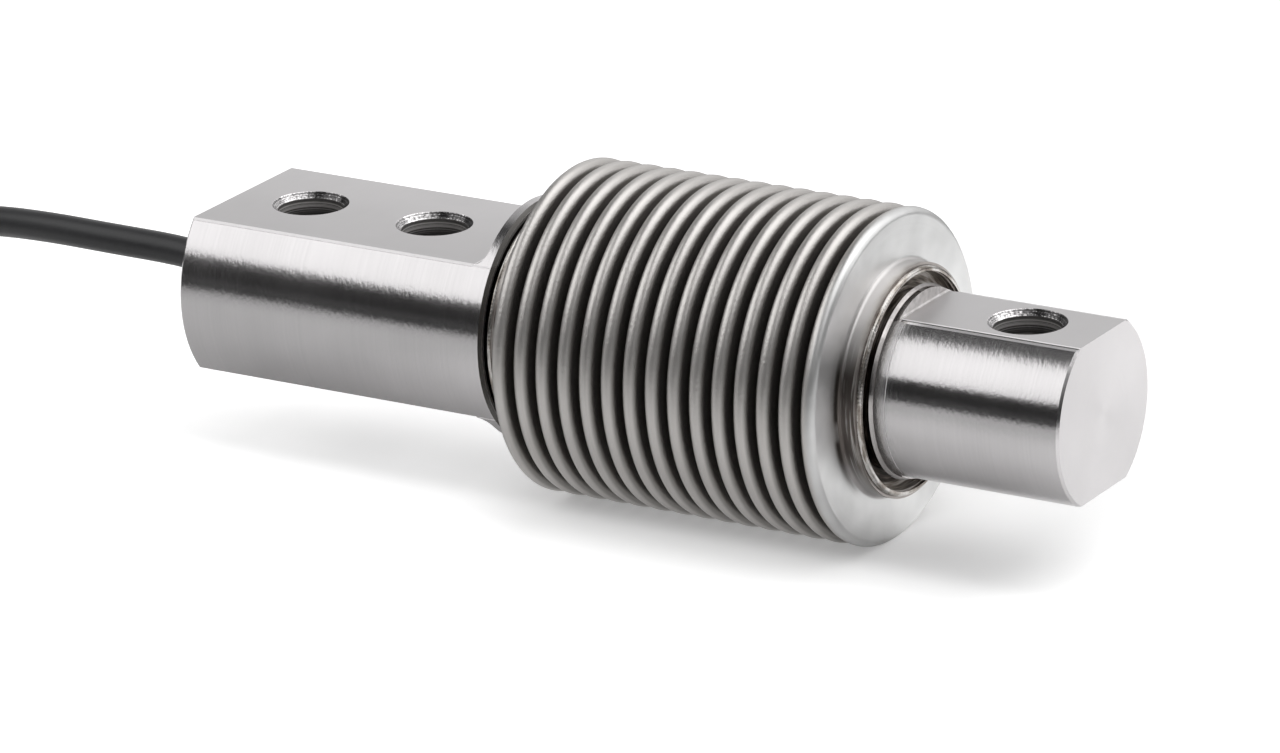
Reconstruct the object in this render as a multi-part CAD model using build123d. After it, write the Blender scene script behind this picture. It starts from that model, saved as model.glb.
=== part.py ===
from build123d import *
import math
import os

# Strain gauge load cell: a bending beam sealed in a welded metal bellows, lying on the bellows.
# The frame of the part: +X from the cable side to the load side, +Z up, z = 0 at the bellows' lowest line.
# Inside this file the cell is built on its own axis, with x counted from the mounting end's face.

# Mounting end
mount_d = 30.0
mount_flats = 19.6
mount_flat_length = 42.0
mount_shoulder_r = 1.5
mount_rim = 1.5
mount_rim_chamfer = 0.4
mount_hole_from_face = 10.0
mount_hole_spacing = 18.0

# Load end
load_d = 23.2
load_rim_d = 23.7
load_rim_width = 0.4
load_neck_d = 23.1
load_neck_width = 1.5
load_neck_run_out = 0.15
load_flats = 19.6
load_end_length = 24.9
load_shoulder_from_neck = 1.1
load_shoulder_r = 0.25
load_hole_from_face = 10.0

# Holes and edges
hole_d = 8.2
hole_chamfer = 0.7
face_chamfer = 0.3
flat_edge_break = 0.25

# Bellows
bellows_d = 41.0
bellows_root_d = 29.8
convolutions = 15
pitch = 3.02
crest_r = 0.97
bellows_wall = 0.3
mount_cuff_length = 3.14
load_cuff_length = 1.66

# Weld flanges that carry the cuffs
flange_d = 27.8
cuff_fit = 0.02
mount_groove_width = 0.35
mount_groove_d = 25.9
mount_seam_width = 0.6
mount_seam_proud = 0.42
mount_seam_crown = 0.36
mount_flange_length = 4.15
load_flange_length = 3.62
load_lip_proud = 0.07
load_lip_wall = 0.7
load_seam_width = 0.48
load_seam_inset = 0.1
load_seam_roundness = 0.9
load_groove_depth = 2.2
neck_groove_d = 22.0

# Bending beam
beam_width = 10.0
beam_height = 13.0
beam_fillet = 1.0
window_bore_d = 9.2
window_bore_from_flange = 8.5
window_slot = 4.0

# Strain gauges
gauge_length = 7.0
gauge_width = 4.0
gauge_carrier = 0.1
foil = 0.06
strand = 0.22
strand_gap = 0.2
strand_count = 7
grid_length = 3.2
tab = 1.2
tab_spacing = 1.8
gauge_lead_d = 0.25
gauge_lead_stand_off = 0.02
gauge_lead_over_edge = 0.4
gauge_lead_rise = 1.2

# Terminal board on the side of the beam
board_length = 14.0
board_height = 11.0
board_thickness = 0.8
bond_thickness = 0.2
bond_margin = 0.2
pad_pitch = 1.6
pad_column_from_edge = 1.7
lead_pad_from_edge = 1.1
lead_pad_columns = (1.1, 2.7)
solder_r = 0.75
lead_solder_r = 0.45
resistor = (2.0, 0.5, 1.25)
resistor_from_edge = 2.0
resistor_spacing = 2.4

# Cable entry in the mounting end's face
recess_d = 16.4
recess_depth = 4.0
cap_recess = 0.4
cap_thickness = 1.2
cap_fit = 0.02
cap_chamfer = 0.2
bush_d = 6.8
bush_lip_d = 7.8
cable_fit = 0.03
channel_d = 2.7
channel_offset = 6.7
channel_plug = 2.0
conductor_d = 0.7
conductor_row_step = 0.9
conductor_step = 0.76
conductor_stand_off = 0.02
conductor_past_flange = 1.5
conductor_on_pad = 0.2
conductor_end_run = 1.4

# Cable
cable_d = 3.9
hank_fold_r = 13.8
hank_turn_step = 4.2
hank_columns = 2
hank_layers = 6
hank_run = 68.0
hank_near_x = -155.0
hank_corner_r = 1.2
tie_width = 4.0
tie_thickness = 0.7
tie_head = (5.0, 5.6, 2.6)
tie_head_corner_r = 0.6
sleeve_d = 4.8
sleeve_over_jacket = 5.0
sleeve_past_jacket = 6.0
lead_d = 1.0
lead_circle_r = 1.15
lead_fan_first = 2.2
lead_fan_step = 2.7
lead_mouth = 1.0
lead_half_way = 0.6
lead_drift = 1.0
lead_touch_down = 0.1
lead_spread = 1.05
tinned_d = 0.7
tinned_length = 5.0
shield_d = 0.9

# Cable route, from the potting's face to the hank, then from the hank to the jacket's end
cable_route = [
    (-58.4, 0.0, 20.5),
    (-63.0, 0.0, 20.5),
    (-71.0, 1.15, 20.78),
    (-81.0, 1.5, 20.65),
    (-92.0, 3.1, 20.15),
    (-104.0, 6.2, 18.5),
    (-117.0, 9.2, 15.0),
    (-130.0, 11.5, 10.2),
    (-142.0, 13.2, 5.4),
    (-152.0, 14.6, 2.6),
    (-160.0, 15.9, 1.95),
]
tail_route = [
    (-184.0, 9.7, 1.95),
    (-191.0, 7.2, 2.1),
    (-199.0, 5.0, 2.45),
    (-207.0, 4.2, 2.6),
]
lead_fan_x = -226.0
lead_straight_x = -238.0
lead_end_x = -244.0
lead_fan_y = 1.5

# Stations along the axis, from the mounting end's face
root_r = pitch / 2 - crest_r
rim_end = mount_flat_length + mount_rim
flange_start = rim_end + mount_groove_width
mount_cuff_start = flange_start + mount_seam_width
first_flank = mount_cuff_start + mount_cuff_length + root_r
first_crest = first_flank + crest_r
last_crest = first_crest + (convolutions - 1) * pitch
last_flank = last_crest + crest_r
load_cuff_end = last_flank + root_r + load_cuff_length
lip_end = load_cuff_end + load_lip_proud
neck_start = lip_end + load_seam_width
length = neck_start + load_end_length
beam_start = flange_start + mount_flange_length
beam_end = lip_end - load_flange_length
cuff_r = flange_d / 2 + cuff_fit + bellows_wall
mount_holes = (mount_hole_from_face, mount_hole_from_face + mount_hole_spacing)
load_hole = length - load_hole_from_face
window_bores = (beam_start + window_bore_from_flange, beam_end - window_bore_from_flange)
board_mid = (beam_start + beam_end) / 2
board_back = beam_width / 2 + bond_thickness
board_front = board_back + board_thickness
cap_back = cap_recess + cap_thickness
channel_start = recess_depth + channel_plug

on_the_floor = Location((-length / 2, 0, bellows_d / 2))


def save(name, *shapes, place=on_the_floor):
    solids = [solid for shape in shapes for solid in shape.solids()]
    export_step(place * (solids[0] if len(solids) == 1 else Compound(solids)), f"parts/{name}.step")


def turned(*points):
    return revolve(make_face(Polyline(*points, close=True)), Axis.X)


def ring(start, end, inner_r, outer_r):
    return turned((start, inner_r), (end, inner_r), (end, outer_r), (start, outer_r))


def block(low, high):
    size = [b - a for a, b in zip(low, high)]
    middle = [(a + b) / 2 for a, b in zip(low, high)]
    return Pos(*middle) * Box(*size)


def flat_cutter(start, end, height, depth, shoulder, shoulder_r):
    """Removes one side of a round end down to its flat, with a round corner at the shoulder."""
    cutter = block((start, -depth, height), (end, depth, depth))
    corner = cutter.edges().filter_by(Axis.Y).sort_by_distance((shoulder, 0, height))[0]
    return fillet(corner, shoulder_r)


def flats(body, span, across, diameter, shoulder, shoulder_r):
    cutter = flat_cutter(*span, across / 2, diameter, shoulder, shoulder_r)
    return body - cutter - mirror(cutter, Plane.XY)


def hole_cutter(x, across):
    """A hole across two flats, with a chamfer at each."""
    outer_r = hole_d / 2 + hole_chamfer
    mouth = Cone(outer_r, hole_d / 2, hole_chamfer, align=(Align.CENTER, Align.CENTER, Align.MAX))
    mouth = Pos(x, 0, across / 2) * Rot(180, 0, 0) * Pos(0, 0, hole_chamfer) * mouth
    return Pos(x, 0, 0) * Cylinder(hole_d / 2, across + 2) + mouth + mirror(mouth, Plane.XY)


def broken_edges(start, end, across, diameter):
    """Four thin bars that break the long edges between two flats and a round end."""
    radius = diameter / 2
    high = across / 2
    wide = math.sqrt(radius**2 - high**2)
    lean = (math.atan2(high, wide) + math.pi / 2) / 2
    bar = Box(end - start, 1, 1)
    out = 0.5 - flat_edge_break / 2
    bars = [
        Pos((start + end) / 2, sy * (wide + out * math.cos(lean)), sz * (high + out * math.sin(lean)))
        * Rot(sy * sz * math.degrees(lean), 0, 0)
        * bar
        for sy in (1, -1)
        for sz in (1, -1)
    ]
    return bars


def spring_body():
    neck_band = neck_start + load_rim_width
    neck_end = neck_band + load_neck_width
    mount_end = turned(
        (0, 0),
        (0, mount_d / 2 - face_chamfer),
        (face_chamfer, mount_d / 2),
        (rim_end - mount_rim_chamfer, mount_d / 2),
        (rim_end, mount_d / 2 - mount_rim_chamfer),
        (rim_end, mount_groove_d / 2),
        (flange_start, mount_groove_d / 2),
        (flange_start, flange_d / 2),
        (beam_start, flange_d / 2),
        (beam_start, 0),
    )
    load_end = turned(
        (beam_end, 0),
        (beam_end, flange_d / 2),
        (lip_end, flange_d / 2),
        (lip_end, flange_d / 2 - load_lip_wall),
        (neck_start - load_groove_depth, flange_d / 2 - load_lip_wall),
        (neck_start - load_groove_depth, neck_groove_d / 2),
        (neck_start, neck_groove_d / 2),
        (neck_start, load_rim_d / 2),
        (neck_band, load_d / 2),
        (neck_band, load_neck_d / 2),
        (neck_end, load_neck_d / 2),
        (neck_end + load_neck_run_out, load_d / 2),
        (length - face_chamfer, load_d / 2),
        (length, load_d / 2 - face_chamfer),
        (length, 0),
    )
    load_shoulder = neck_start + load_shoulder_from_neck
    mount_span = (-1, mount_flat_length)
    load_span = (load_shoulder, length + 1)
    mount_end = flats(mount_end, mount_span, mount_flats, mount_d, mount_flat_length, mount_shoulder_r)
    load_end = flats(load_end, load_span, load_flats, load_d, load_shoulder, load_shoulder_r)
    for bar in broken_edges(-1, mount_flat_length - mount_shoulder_r, mount_flats, mount_d):
        mount_end -= bar
    for bar in broken_edges(load_shoulder + load_shoulder_r, length + 1, load_flats, load_d):
        load_end -= bar
    for x in mount_holes:
        mount_end -= hole_cutter(x, mount_flats)
    load_end -= hole_cutter(load_hole, load_flats)
    mount_end -= ring(-1, recess_depth, 0, recess_d / 2)
    mount_end -= Pos(0, channel_offset, 0) * ring(0, beam_start + 1, 0, channel_d / 2)
    beam = block((beam_start, -beam_width / 2, -beam_height / 2), (beam_end, beam_width / 2, beam_height / 2))
    body = mount_end + beam + load_end
    corners = [
        edge
        for edge in body.edges().filter_by(GeomType.LINE)
        if min(abs(edge.center().X - beam_start), abs(edge.center().X - beam_end)) < 1e-3
        and abs(edge.center().Y) <= beam_width / 2 + 1e-3
        and abs(edge.center().Z) <= beam_height / 2 + 1e-3
    ]
    body = fillet(corners, beam_fillet)
    for x in window_bores:
        body -= Pos(x, 0, 0) * Rot(90, 0, 0) * Cylinder(window_bore_d / 2, beam_width + 2)
    slot_half = (window_bores[1] - window_bores[0]) / 2
    return body - Pos(board_mid, 0, 0) * Box(2 * slot_half, beam_width + 2, window_slot)


def corrugation(depth):
    """The bellows' section line at a depth below its outer surface, from the mounting cuff to the load cuff."""
    tip = crest_r - depth
    valley = root_r + depth
    crest_middle = bellows_d / 2 - crest_r
    root_middle = bellows_root_d / 2 + root_r
    cuff_middle = cuff_r + root_r
    half = valley / math.sqrt(2)
    left = first_crest - tip
    right = last_crest + tip
    lines = [
        Line((mount_cuff_start, cuff_r - depth), (left - valley, cuff_r - depth)),
        ThreePointArc(
            (left - valley, cuff_r - depth),
            (left - valley + half, cuff_middle - half),
            (left, cuff_middle),
        ),
        Line((left, cuff_middle), (left, crest_middle)),
    ]
    for i in range(convolutions):
        crest = first_crest + i * pitch
        lines.append(
            ThreePointArc(
                (crest - tip, crest_middle), (crest, crest_middle + tip), (crest + tip, crest_middle)
            )
        )
        if i < convolutions - 1:
            root = crest + pitch / 2
            lines += [
                Line((crest + tip, crest_middle), (crest + tip, root_middle)),
                ThreePointArc(
                    (crest + tip, root_middle),
                    (root, root_middle - valley),
                    (crest + pitch - tip, root_middle),
                ),
                Line((crest + pitch - tip, root_middle), (crest + pitch - tip, crest_middle)),
            ]
    return lines + [
        Line((right, crest_middle), (right, cuff_middle)),
        ThreePointArc(
            (right, cuff_middle),
            (right + valley - half, cuff_middle - half),
            (right + valley, cuff_r - depth),
        ),
        Line((right + valley, cuff_r - depth), (load_cuff_end, cuff_r - depth)),
    ]


def bellows():
    ends = [
        Line((x, cuff_r - bellows_wall), (x, cuff_r)) for x in (mount_cuff_start, load_cuff_end)
    ]
    return revolve(make_face(corrugation(0) + corrugation(bellows_wall) + ends), Axis.X)


def weld_seam_mount():
    """A melted bead round the flange, against the cuff's edge."""
    base_r = flange_d / 2
    top_r = base_r + mount_seam_proud
    outline = [
        Line((flange_start, base_r), (mount_cuff_start, base_r)),
        Line((mount_cuff_start, base_r), (mount_cuff_start, base_r + bellows_wall)),
        Spline(
            (mount_cuff_start, base_r + bellows_wall),
            (mount_cuff_start - mount_seam_crown, top_r),
            (flange_start, base_r),
        ),
    ]
    return revolve(make_face(outline), Axis.X)


def weld_seam_load():
    """A melted bead on the end of the thin lip that carries the cuff."""
    inner_r = flange_d / 2 - load_lip_wall + load_seam_inset
    outer_r = flange_d / 2
    middle_r = (inner_r + outer_r) / 2
    bead = ring(lip_end, neck_start, inner_r, outer_r)
    nose = [e for e in bead.edges() if abs(e.center().X - neck_start) < 1e-3 and e.radius > middle_r]
    return fillet(nose, load_seam_width * load_seam_roundness)


def strain_gauge(x, side, inward):
    """A foil meander with two solder tabs on its carrier, on the top or bottom of the beam."""
    face = beam_height / 2
    carrier_top = face + gauge_carrier
    foil_top = carrier_top + foil
    half_width = gauge_width / 2
    step = strand + strand_gap
    first = -(strand_count - 1) / 2 * step
    gauge = block((-gauge_length / 2, -half_width, face), (gauge_length / 2, half_width, carrier_top))
    for i in range(strand_count):
        y = first + i * step
        gauge += block(
            (-grid_length / 2, y - strand / 2, carrier_top), (grid_length / 2, y + strand / 2, foil_top)
        )
        if i < strand_count - 1:
            end = (-1) ** i * (grid_length - strand) / 2
            gauge += block(
                (-end - strand / 2, y - strand / 2, carrier_top),
                (-end + strand / 2, y + step + strand / 2, foil_top),
            )
    for y in (-tab_spacing / 2, tab_spacing / 2):
        gauge += block(
            (grid_length / 2 - strand, y - tab / 2, carrier_top), (grid_length / 2 + tab, y + tab / 2, foil_top)
        )
    if inward < 0:
        gauge = mirror(gauge, Plane.YZ)
    if side < 0:
        gauge = mirror(gauge, Plane.XY)
    return Pos(x, 0, 0) * gauge


def distance(a, b):
    return (Vector(*b) - Vector(*a)).length


def bend_radii(points):
    """The largest arc that each corner's two runs allow."""
    radii = []
    for before, corner, after in zip(points, points[1:], points[2:]):
        turn = (Vector(*corner) - Vector(*before)).get_angle(Vector(*after) - Vector(*corner))
        shorter = min(distance(before, corner), distance(corner, after))
        radii.append(0.45 * shorter / math.tan(math.radians(turn) / 2))
    return radii


def tube(points, diameter):
    """A round tube along straight runs that tangent arcs join."""
    path = FilletPolyline(*points, radius=bend_radii(points))
    start = Plane(points[0], z_dir=Vector(*points[1]) - Vector(*points[0]))
    return sweep(start * Circle(diameter / 2), path=path)


def lead_pads():
    """Each gauge lead's tab and its pad on the board, as (tab x, tab y, pad x, side)."""
    pads = []
    for x, inward in zip(window_bores, (1, -1)):
        tab_x = x + inward * (grid_length / 2 + tab / 2)
        for tab_y, column in zip((tab_spacing / 2, -tab_spacing / 2), reversed(lead_pad_columns)):
            pads += [(tab_x, tab_y, board_mid - inward * column, side) for side in (1, -1)]
    return pads


def gauge_leads():
    over_tab = beam_height / 2 + gauge_carrier + foil + gauge_lead_d / 2 + gauge_lead_stand_off
    over_edge = beam_height / 2 + gauge_lead_over_edge
    in_front = board_front + gauge_lead_d / 2 + gauge_lead_stand_off
    pad_z = board_height / 2 - lead_pad_from_edge
    leads = []
    for tab_x, tab_y, pad_x, side in lead_pads():
        route = [
            (tab_x, tab_y, side * over_tab),
            (tab_x + (pad_x - tab_x) / 3, tab_y + gauge_lead_rise, side * over_edge),
            (pad_x, in_front, side * over_edge),
            (pad_x, in_front, side * pad_z),
        ]
        leads.append(tube(route, gauge_lead_d))
    return leads


def conductors():
    """The six conductors, from the potting through the channel to the board's pads."""
    pad_y = board_front + conductor_d / 2 + conductor_stand_off
    pad_x = board_mid - board_length / 2 + pad_column_from_edge
    pads = [(i - 2.5) * pad_pitch for i in range(6)]
    wires = []
    for i, pad_z in enumerate(pads):
        row = conductor_row_step / 2 * (1 if i % 2 == 0 else -1)
        z = (i // 2 - 1) * conductor_step
        route = [
            (channel_start, channel_offset + row, z),
            (beam_start + conductor_past_flange, channel_offset + row, z),
            (pad_x + conductor_on_pad - conductor_end_run, pad_y, pad_z),
            (pad_x + conductor_on_pad, pad_y, pad_z),
        ]
        wires.append(tube(route, conductor_d))
    return wires


def half_ball(x, z, radius):
    ball = Pos(x, board_front, z) * Sphere(radius)
    return ball & block((x - radius, board_front, z - radius), (x + radius, board_front + radius, z + radius))


def solder_joints(wires, leads):
    pad_x = board_mid - board_length / 2 + pad_column_from_edge
    pad_z = board_height / 2 - lead_pad_from_edge
    joints = [half_ball(pad_x, (i - 2.5) * pad_pitch, solder_r) - wire for i, wire in enumerate(wires)]
    for (_, _, x, side), lead in zip(lead_pads(), leads):
        joints.append(half_ball(x, side * pad_z, lead_solder_r) - lead)
    return joints


def terminal_board():
    half = board_height / 2
    return block(
        (board_mid - board_length / 2, board_back, -half), (board_mid + board_length / 2, board_front, half)
    )


def board_bond():
    """Two strips of adhesive, above and below the slot in the beam."""
    low = window_slot / 2 + bond_margin
    high = board_height / 2 - bond_margin
    half = board_length / 2 - bond_margin
    return [
        block(
            (board_mid - half, beam_width / 2, min(side * low, side * high)),
            (board_mid + half, board_back, max(side * low, side * high)),
        )
        for side in (1, -1)
    ]


def trim_resistors():
    x = board_mid + board_length / 2 - resistor_from_edge
    wide, thick, high = resistor
    return [
        Pos(x, board_front + thick / 2, side * resistor_spacing / 2) * Box(wide, thick, high)
        for side in (1, -1)
    ]


def entry_cap():
    cap = ring(cap_recess, cap_back, bush_d / 2, recess_d / 2 - cap_fit)
    rim = [e for e in cap.edges() if abs(e.center().X - cap_recess) < 1e-3 and e.radius > bush_d / 2 + 1e-3]
    return chamfer(rim, cap_chamfer)


def cable_bush():
    inner_r = cable_d / 2 + cable_fit
    return turned(
        (0, inner_r),
        (0, bush_lip_d / 2),
        (cap_recess, bush_lip_d / 2),
        (cap_recess, bush_d / 2),
        (cap_back, bush_d / 2),
        (cap_back, inner_r),
    )


def entry_potting():
    disc = ring(cap_back, recess_depth, 0, recess_d / 2)
    return disc + Pos(0, channel_offset, 0) * ring(recess_depth, channel_start, 0, channel_d / 2)


# The hank: turns folded side by side and on each other, with a tie round each run
hank_outer_r = hank_fold_r + (hank_columns - 1) * hank_turn_step
hank_mid_r = (hank_fold_r + hank_outer_r) / 2
bundle_width = (hank_columns - 1) * hank_turn_step + cable_d
bundle_height = (hank_layers - 1) * hank_turn_step + cable_d
hank_mid_x = hank_near_x - (hank_outer_r + cable_d / 2) - hank_run / 2
tied_width = hank_columns * cable_d
tied_height = hank_layers * cable_d


def slot_plate(run, radius, height):
    """A plate with straight sides and two round ends."""
    plate = extrude(SlotCenterToCenter(run, 2 * radius), height)
    return Pos(hank_mid_x, 0, 0) * plate


def tie_band(width, height, side):
    """A block along X with round corners, round the tied bundle on one side."""
    section = Plane.YZ * RectangleRounded(width, height, cable_d / 2)
    return Pos(hank_mid_x - tie_width / 2, side * hank_mid_r, bundle_height / 2) * extrude(section, tie_width)


def hank_and_ties():
    hank = slot_plate(hank_run, hank_mid_r + bundle_width / 2, bundle_height)
    hank -= slot_plate(hank_run, hank_mid_r - bundle_width / 2, bundle_height)
    rims = hank.faces().filter_by(Axis.Z).edges()
    hank = fillet(rims, hank_corner_r)
    ties = []
    for side in (1, -1):
        tied = tie_band(tied_width, tied_height, side)
        outside = tie_band(tied_width + 2 * tie_thickness, tied_height + 2 * tie_thickness, side)
        window = Pos(hank_mid_x, side * hank_mid_r, bundle_height / 2)
        window *= Box(tie_width, bundle_width + 2, bundle_height + 2)
        hank -= window - tied
        long, wide, high = tie_head
        head = Pos(hank_mid_x, side * hank_mid_r, bundle_height + high / 2) * Box(long, wide, high)
        head = fillet(head.edges().filter_by(Axis.Z), tie_head_corner_r)
        neck = block(
            (hank_mid_x - tie_width / 2, side * hank_mid_r - wide / 2, bundle_height - tie_thickness),
            (hank_mid_x + tie_width / 2, side * hank_mid_r + wide / 2, bundle_height + 0.1),
        )
        ties.append((outside - tied) + (neck - tied) + head)
    return hank, ties


def jacket_end():
    """The centre and the direction of the cable where its jacket is stripped."""
    end = Vector(*tail_route[-1])
    return end, (end - Vector(*tail_route[-2])).normalized()


def jacket_sleeve():
    end, along = jacket_end()
    start = Plane(end - along * sleeve_over_jacket, z_dir=along)
    wall = Circle(sleeve_d / 2) - Circle(cable_d / 2 + cable_fit)
    return extrude(start * wall, sleeve_over_jacket + sleeve_past_jacket)


def lead_routes():
    """Routes of the six leads and, last, of the shield's lead, from the jacket's end to their tips."""
    end, along = jacket_end()
    across = Vector(0, 0, 1).cross(along).normalized()
    up = along.cross(across)
    places = [(angle, lead_circle_r, side * (lead_fan_first + step * lead_fan_step))
              for side, angles in ((-1, (-60, 60, 0)), (1, (240, 120, 180)))
              for step, angle in enumerate(angles)]
    routes = []
    for angle, radius, fan in places + [(0, 0.0, 0.0)]:
        turn = math.radians(angle)
        offset = across * (radius * math.cos(turn)) + up * (radius * math.sin(turn))
        diameter = lead_d if radius else shield_d
        start = end + offset
        mouth = start + along * (sleeve_past_jacket + lead_mouth)
        routes.append(([
            tuple(start),
            tuple(mouth),
            (lead_fan_x, lead_fan_y + lead_half_way * fan + lead_drift, lead_half_way * mouth.Z),
            (lead_straight_x, lead_fan_y + fan, diameter / 2 + lead_touch_down),
            (lead_end_x, lead_fan_y + lead_spread * fan, diameter / 2),
        ], diameter))
    return routes


def tinned_end(route):
    tip = Vector(*route[-1])
    along = (tip - Vector(*route[-2])).normalized()
    return extrude(Plane(tip, z_dir=along) * Circle(tinned_d / 2), tinned_length)


os.makedirs("parts", exist_ok=True)

save("spring_body", spring_body())
save("bellows", bellows())
save("weld_seam_mount", weld_seam_mount())
save("weld_seam_load", weld_seam_load())

gauge_places = (("top_mount", 0, 1), ("top_load", 1, 1), ("bottom_mount", 0, -1), ("bottom_load", 1, -1))
for name, bore, side in gauge_places:
    save(f"gauge_{name}", strain_gauge(window_bores[bore], side, 1 if bore == 0 else -1))

wires = conductors()
leads = gauge_leads()
save("board_bond", *board_bond())
save("terminal_board", terminal_board())
save("trim_resistors", *trim_resistors())
save("solder_joints", *solder_joints(wires, leads))
save("gauge_leads", *leads)
for number, wire in enumerate(wires, 1):
    save(f"inner_wire_{number}", wire)

save("entry_cap", entry_cap())
save("cable_bush", cable_bush())
save("entry_potting", entry_potting())

here = Location()
cable = tube(cable_route, cable_d)
tail = tube(tail_route, cable_d)
hank, ties = hank_and_ties()
save("cable", cable, place=here)
save("cable_tail", tail, place=here)
save("cable_hank", hank, place=here)
for name, tie in zip(("hank_tie_far_side", "hank_tie_near_side"), ties):
    save(name, tie, place=here)
save("jacket_sleeve", jacket_sleeve(), place=here)

lead_names = ("green", "black", "blue", "white", "red", "grey")
routes = lead_routes()
for name, (route, diameter) in zip(lead_names, routes):
    save(f"lead_{name}", tube(route, diameter), place=here)
save("shield_lead", tube(*routes[-1]), place=here)
save("tinned_ends", *[tinned_end(route) for route, _ in routes], place=here)

for name, route, solid in (("cable", cable_route, cable), ("cable_tail", tail_route, tail)):
    path = FilletPolyline(*route, radius=bend_radii(route))
    print(name, "radii", [round(r, 1) for r in bend_radii(route)], "length", round(path.length, 1))
    section = math.pi * cable_d**2 / 4
    print(name, "volume", round(solid.volume, 2), "section x length", round(section * path.length, 2))
    print(name, "lowest", round(solid.bounding_box().min.Z, 3))
turn = 2 * hank_run + 2 * math.pi * hank_mid_r
print("hank", hank_columns * hank_layers, "turns", round(hank_columns * hank_layers * turn, 1), "mm of cable")
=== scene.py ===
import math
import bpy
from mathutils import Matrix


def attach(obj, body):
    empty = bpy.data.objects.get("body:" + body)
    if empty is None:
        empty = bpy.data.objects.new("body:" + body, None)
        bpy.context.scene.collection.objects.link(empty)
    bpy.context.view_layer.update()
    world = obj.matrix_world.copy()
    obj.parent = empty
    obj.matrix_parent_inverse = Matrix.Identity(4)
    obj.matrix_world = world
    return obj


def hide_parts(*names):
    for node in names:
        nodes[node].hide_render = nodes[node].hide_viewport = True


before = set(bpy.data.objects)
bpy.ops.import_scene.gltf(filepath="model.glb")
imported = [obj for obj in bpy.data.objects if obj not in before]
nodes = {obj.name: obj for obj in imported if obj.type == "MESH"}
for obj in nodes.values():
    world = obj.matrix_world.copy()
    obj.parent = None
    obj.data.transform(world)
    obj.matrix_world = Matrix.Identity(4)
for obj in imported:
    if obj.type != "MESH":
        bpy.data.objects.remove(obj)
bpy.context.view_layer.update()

# The looks of a strain gauge load cell: finishes for the CAD's nodes, a finer bellows, the cable as one
# cord, and the photo's table, light and camera. Sizes are in millimetres unless a name or comment says
# otherwise. Places along the cell count from the mounting end's face, heights from the cell's axis.

from types import SimpleNamespace

import bpy
from mathutils import Matrix, Vector

scene = bpy.context.scene
MM = 0.001

# Sizes of the cell
LENGTH = 120.0
AXIS_HEIGHT = 20.5
CABLE_D = 3.9

# Bellows: the outer surface of its wall
BELLOWS_R = 20.5
PITCH = 3.02
CONVOLUTIONS = 15
CREST_R = 0.97
ROOT_R = PITCH / 2 - CREST_R
ROOT_OUTER_R = 14.9
WALL = 0.3
CUFF_R = 14.22
MOUNT_CUFF_START = 44.45
LOAD_CUFF_END = 94.55
FIRST_CREST = 49.1
LAST_CREST = FIRST_CREST + (CONVOLUTIONS - 1) * PITCH
CREST_STEPS = 12
ROOT_STEPS = 6
RING_VERTICES = 144

# Features of the spring body that its finish follows
HOLES = (10.0, 28.0, 110.0)
HOLE_R = 4.1
HOLE_CHAMFER = 0.7
FLAT_HEIGHT = 9.8
# Widths of the painted highlight along the flats' edges
EDGE_GLINT = 0.16
LOAD_EDGE_GLINT = 0.045
# Heights below the flat of the painted dark band on the load end's edge chamfers
UNDER_EDGE = (0.045, 0.11)
SHOULDERS = (30.0, 98.0)
NECK_RUN_OUT = (96.9, 97.25)
NECK_BAND = (95.3, NECK_RUN_OUT[0])
MOUNT_CHAMFER = (43.08, 43.49)
MOUNT_GROOVE = (43.48, 43.9)
MOUNT_GROOVE_R = 14.15
LOAD_GROOVE = (92.8, 95.1)
LOAD_GROOVE_R = (10.9, 13.25)
MOUNT_SEAM = 44.15
LOAD_SEAM = 94.85

# Cable, in the row frame: the route of the part's source, then the hank's turns and the free end
ROUTE = [
    (-58.4, 0.0, 20.5),
    (-63.0, 0.0, 20.5),
    (-71.0, 1.15, 20.78),
    (-81.0, 1.5, 20.65),
    (-92.0, 3.1, 20.15),
    (-104.0, 6.2, 18.5),
    (-117.0, 9.2, 15.0),
    (-130.0, 11.5, 10.2),
    (-142.0, 13.2, 5.4),
    (-152.0, 14.6, 2.6),
    (-160.0, 15.9, 1.95),
]
TAIL = [
    (-184.0, 9.7, 1.95),
    (-191.0, 7.2, 2.1),
    (-199.0, 5.0, 2.45),
    (-207.0, 4.2, 2.6),
]
HANK_NEAR_X = -155.0
HANK_RUN = 68.0
FOLD_R = 13.8
FOLD_STEPS = 6
TURN_STEP = 4.2
TIED_STEP = CABLE_D
TIED_SHARE = 0.5
RUN_SHARES = (0.25, TIED_SHARE, 0.75)
LAYERS = 6
HANK_MID_X = HANK_NEAR_X - (FOLD_R + TURN_STEP + CABLE_D / 2) - HANK_RUN / 2
HANK_MIDDLE_Z = (LAYERS - 1) * TURN_STEP / 2 + CABLE_D / 2

# Table, in metres: its top fades into a dark room outside TABLE_FADE
TABLE_SIZE = 6
TABLE_FADE = (0.10, 0.40)
TABLE_WHITE = 0.86
ROOM_GREY = 0.03
ROOM_GLOW = 1.2

# The table's brightness changes softly over it, each change given as (start, end, first value, last value)
# towards the east (+X) or the north (+Y)

# How much dimmer the metal mirrors the lit table
DIMMER_WEST = (-0.020, -0.055, 0.0, 0.28)
DIMMER_FRONT = (-0.03, -0.09, 0.0, 0.30)

# Glow of the table for the camera
GLOW_NEAR_FRONT = (-0.006, -0.013, 0.0, 0.17)
GLOW_FAR_FRONT = (-0.012, -0.024, 0.0, 0.17)
GLOW_WEST_END = (-0.008, -0.024, 0.28, 0.48)
GLOW_EAST_END = (0.046, 0.060, 0.28, 0.46)

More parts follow.
